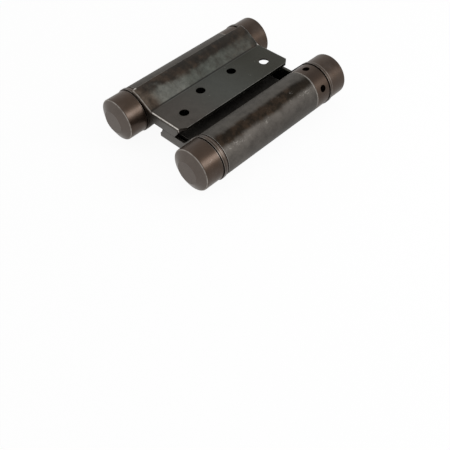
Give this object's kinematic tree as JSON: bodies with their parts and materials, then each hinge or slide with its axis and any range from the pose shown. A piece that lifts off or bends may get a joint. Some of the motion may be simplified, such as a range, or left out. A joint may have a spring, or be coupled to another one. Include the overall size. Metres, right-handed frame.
{
  "type": "double action spring hinge",
  "caption": "Double action spring hinge: a centre plate rolled into two sprung barrels, each carrying a pressed leaf that closes over the plate from its own side.",
  "frame": {"origin": "midway between the two barrel axes, at half the length of the hinge, on the mid-plane of the centre plate", "axes": "+X from the left barrel to the right barrel, +Y along the barrels towards the tension collars, +Z square to the centre plate on the side of the left leaf"},
  "size_m": [0.0732, 0.1, 0.0248],
  "materials": {
    "bronzed_sheet": "dark burnished bronze on steel sheet, semi-gloss, worn at the folds",
    "bronzed_turned": "dark brown bronze on turned and drawn steel, satin",
    "spring_steel": "oiled dark spring wire",
    "zinc_plated_steel": "zinc plated, satin",
    "bright_steel": "bright drawn steel, oiled"
  },
  "bodies": {
    "centre": {"centre_plate": "bronzed_sheet", "thrust_washer_left": "bronzed_turned", "thrust_washer_right": "bronzed_turned", "anchor_plug_left": "bright_steel", "anchor_plug_right": "bright_steel", "anchor_pin_left": "bright_steel", "anchor_pin_right": "bright_steel", "torsion_spring_left": "spring_steel", "torsion_spring_right": "spring_steel"},
    "leaf_left": {"leaf_left": "bronzed_sheet", "spindle_left": "bright_steel", "cap_nut_left_near": "zinc_plated_steel", "cap_nut_left_far": "zinc_plated_steel", "end_cap_left_near": "bronzed_turned", "end_cap_left_far": "bronzed_turned"},
    "collar_left": {"tension_collar_left": "bronzed_turned"},
    "leaf_right": {"leaf_right": "bronzed_sheet", "spindle_right": "bright_steel", "cap_nut_right_near": "zinc_plated_steel", "cap_nut_right_far": "zinc_plated_steel", "end_cap_right_near": "bronzed_turned", "end_cap_right_far": "bronzed_turned"},
    "collar_right": {"tension_collar_right": "bronzed_turned"}
  },
  "joints": [
    {"name": "leaf_left_hinge", "type": "hinge", "parent": "centre", "child": "leaf_left", "pos_m": [-0.0255, 0, 0], "axis": [0, -1, 0], "range_deg": [0, 180], "stiffness_Nm_per_rad": 0.4, "springref_deg": -143.24},
    {"name": "leaf_right_hinge", "type": "hinge", "parent": "centre", "child": "leaf_right", "pos_m": [0.0255, 0, 0], "axis": [0, -1, 0], "range_deg": [0, 180], "stiffness_Nm_per_rad": 0.4, "springref_deg": -143.24},
    {"name": "collar_left_wind", "type": "hinge", "parent": "centre", "child": "collar_left", "pos_m": [-0.0255, 0, 0], "axis": [0, -1, 0], "range_deg": [0, 216], "stiffness_Nm_per_rad": 0.4, "deforming": ["torsion_spring_left"]},
    {"name": "collar_right_wind", "type": "hinge", "parent": "centre", "child": "collar_right", "pos_m": [0.0255, 0, 0], "axis": [0, -1, 0], "range_deg": [0, 216], "stiffness_Nm_per_rad": 0.4, "deforming": ["torsion_spring_right"]}
  ]
}
